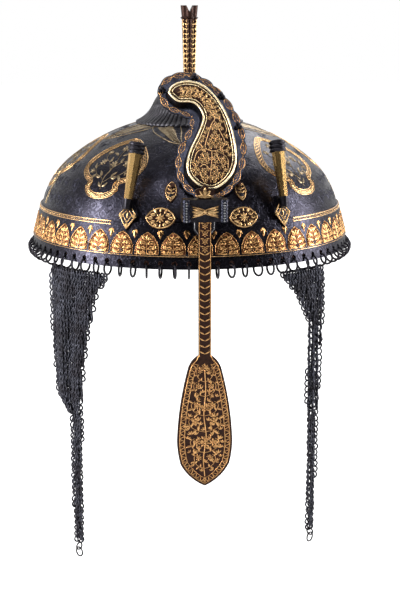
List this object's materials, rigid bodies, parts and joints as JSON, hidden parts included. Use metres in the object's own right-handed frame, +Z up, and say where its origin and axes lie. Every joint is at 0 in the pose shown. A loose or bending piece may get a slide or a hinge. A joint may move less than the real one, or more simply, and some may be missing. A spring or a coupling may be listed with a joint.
{
  "type": "kulah khud helmet",
  "caption": "Indo-Persian domed steel helmet with spike, boteh crest, two plume sockets, sliding nasal bar and hanging ring mail.",
  "frame": {"origin": "centre of the bowl's lower edge, on the bowl's axis, in the plane of the edge", "axes": "+Z up along the bowl's axis to the spike, -Y the wearer's front where the nasal hangs, +X to the right in a view from the front"},
  "size_m": [0.214, 0.2243, 0.3458],
  "materials": {
    "blued_steel": "dark blued and chiselled steel",
    "gilt_band": "gold laid in dark steel, worn",
    "gilt_steel": "dark steel with gold inlay",
    "dark_iron": "blackened iron",
    "iron_mail": "blackened iron ring mail",
    "spring_steel": "tempered steel",
    "quilted_cloth": "quilted cotton"
  },
  "bodies": {
    "helmet": {"skull": "blued_steel", "brow_band": "gilt_band", "rim_rings": "dark_iron", "lining": "quilted_cloth", "finial_base": "blued_steel", "finial_collar": "gilt_steel", "finial_washer": "dark_iron", "finial_nut": "dark_iron", "finial_spike": "gilt_steel", "crest_plate": "gilt_steel", "crest_boss": "gilt_steel", "crest_knobs": "dark_iron", "crest_foot_left": "gilt_steel", "crest_foot_right": "gilt_steel", "crest_stay": "dark_iron", "nasal_bracket": "blued_steel", "bracket_tongue": "blued_steel", "bracket_rosette_left": "gilt_steel", "bracket_rosette_right": "gilt_steel", "bracket_rolls": "blued_steel", "bracket_bow": "gilt_steel", "nasal_spring": "spring_steel", "plume_tube_left": "gilt_steel", "plume_collar_left": "dark_iron", "plume_foot_left": "gilt_steel", "plume_tube_right": "gilt_steel", "plume_collar_right": "dark_iron", "plume_foot_right": "gilt_steel", "plume_rivets": "dark_iron", "bracket_rivets": "gilt_steel", "crest_rivets": "dark_iron"},
    "nasal_slider": {"nasal": "gilt_steel", "nasal_head": "gilt_steel"},
    "left_mail": {"mail_flap_left": "iron_mail"},
    "left_mail_tail": {"mail_tail_left": "iron_mail", "mail_end_rings_left": "dark_iron"},
    "right_mail": {"mail_flap_right": "iron_mail"},
    "right_mail_tail": {"mail_tail_right": "iron_mail", "mail_end_rings_right": "dark_iron"}
  },
  "joints": [
    {"name": "nasal_slide", "type": "slide", "parent": "helmet", "child": "nasal_slider", "axis": [0, 0, 1], "range_m": [0, 0.078]},
    {"name": "left_mail_swing", "type": "hinge", "parent": "helmet", "child": "left_mail", "pos_m": [-0.07517, -0.06949, -0.00775], "axis": [-0.6788, 0.7343, 0], "range_deg": [-8, 75]},
    {"name": "left_tail_swing", "type": "hinge", "parent": "left_mail", "child": "left_mail_tail", "pos_m": [-0.07667, -0.06783, -0.10005], "axis": [-0.6626, 0.749, 0], "range_deg": [-60, 60]},
    {"name": "right_mail_swing", "type": "hinge", "parent": "helmet", "child": "right_mail", "pos_m": [0.06344, -0.08033, -0.00775], "axis": [-0.7848, -0.6198, 0], "range_deg": [-8, 75]},
    {"name": "right_tail_swing", "type": "hinge", "parent": "right_mail", "child": "right_mail_tail", "pos_m": [0.07175, -0.07301, -0.10005], "axis": [-0.7133, -0.7009, 0], "range_deg": [-60, 60]}
  ]
}
